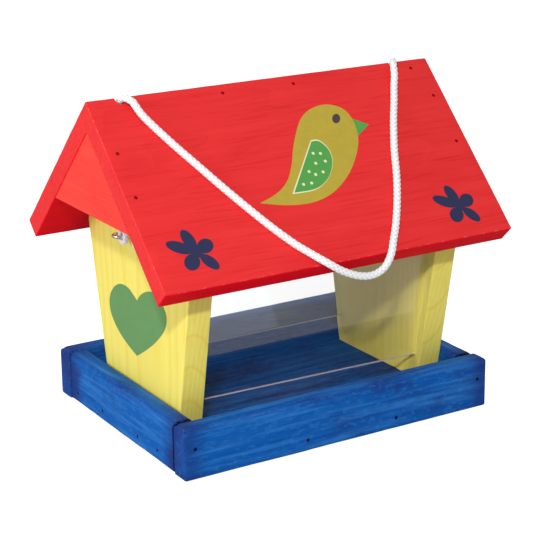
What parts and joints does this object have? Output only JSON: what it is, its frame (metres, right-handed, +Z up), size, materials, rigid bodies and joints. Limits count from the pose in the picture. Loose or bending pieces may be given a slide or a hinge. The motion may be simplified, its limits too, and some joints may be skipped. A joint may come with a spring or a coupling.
{
  "type": "hanging bird feeder house",
  "caption": "Wooden hanging bird feeder house: railed tray, two side boards with clear panes, lift-off gable roof on a rope",
  "frame": {"origin": "on the surface that the tray stands on, under the middle of the roof", "axes": "+X along the ridge to the right as seen from the front, +Y from the front to the back, +Z up"},
  "size_m": [0.276, 0.2204, 0.2461],
  "materials": {
    "red_stain": "satin, translucent red stain over fine straight grain",
    "yellow_stain": "satin, translucent yellow stain over straight pine grain",
    "blue_stain": "satin, streaky blue stain with brush marks",
    "clear_acrylic": "clear and glossy",
    "white_rope": "braided white polyester",
    "steel": "dull steel",
    "bright_steel": "bright zinc",
    "olive_paint": "matt paint film, the bird's body",
    "leaf_green_paint": "matt paint film, the bird's wing and beak",
    "sage_paint": "matt paint film, the heart",
    "navy_paint": "matt paint film, the flowers and the bird's eye",
    "cream_paint": "matt paint film, the wing's line and dots"
  },
  "bodies": {
    "house": {"tray_floor": "blue_stain", "front_rail": "blue_stain", "back_rail": "blue_stain", "left_rail": "blue_stain", "right_rail": "blue_stain", "rail_corner_nails": "steel", "floor_nails": "steel", "left_side": "yellow_stain", "right_side": "yellow_stain", "side_screws": "steel", "front_pane": "clear_acrylic", "back_pane": "clear_acrylic", "left_screw_eye": "bright_steel", "right_screw_eye": "bright_steel", "left_knot": "white_rope", "right_knot": "white_rope", "rope_leg_left": "white_rope", "rope_leg_right": "white_rope"},
    "roof": {"roof_front_panel": "red_stain", "roof_back_panel": "red_stain", "left_gable": "red_stain", "right_gable": "red_stain", "ridge_nails": "steel", "gable_nails_front": "steel", "gable_nails_back": "steel", "rope_loop": "white_rope"}
  },
  "joints": [
    {"name": "roof_lift", "type": "slide", "parent": "house", "child": "roof", "axis": [0, 0, 1], "range_m": [0, 0.09]}
  ]
}
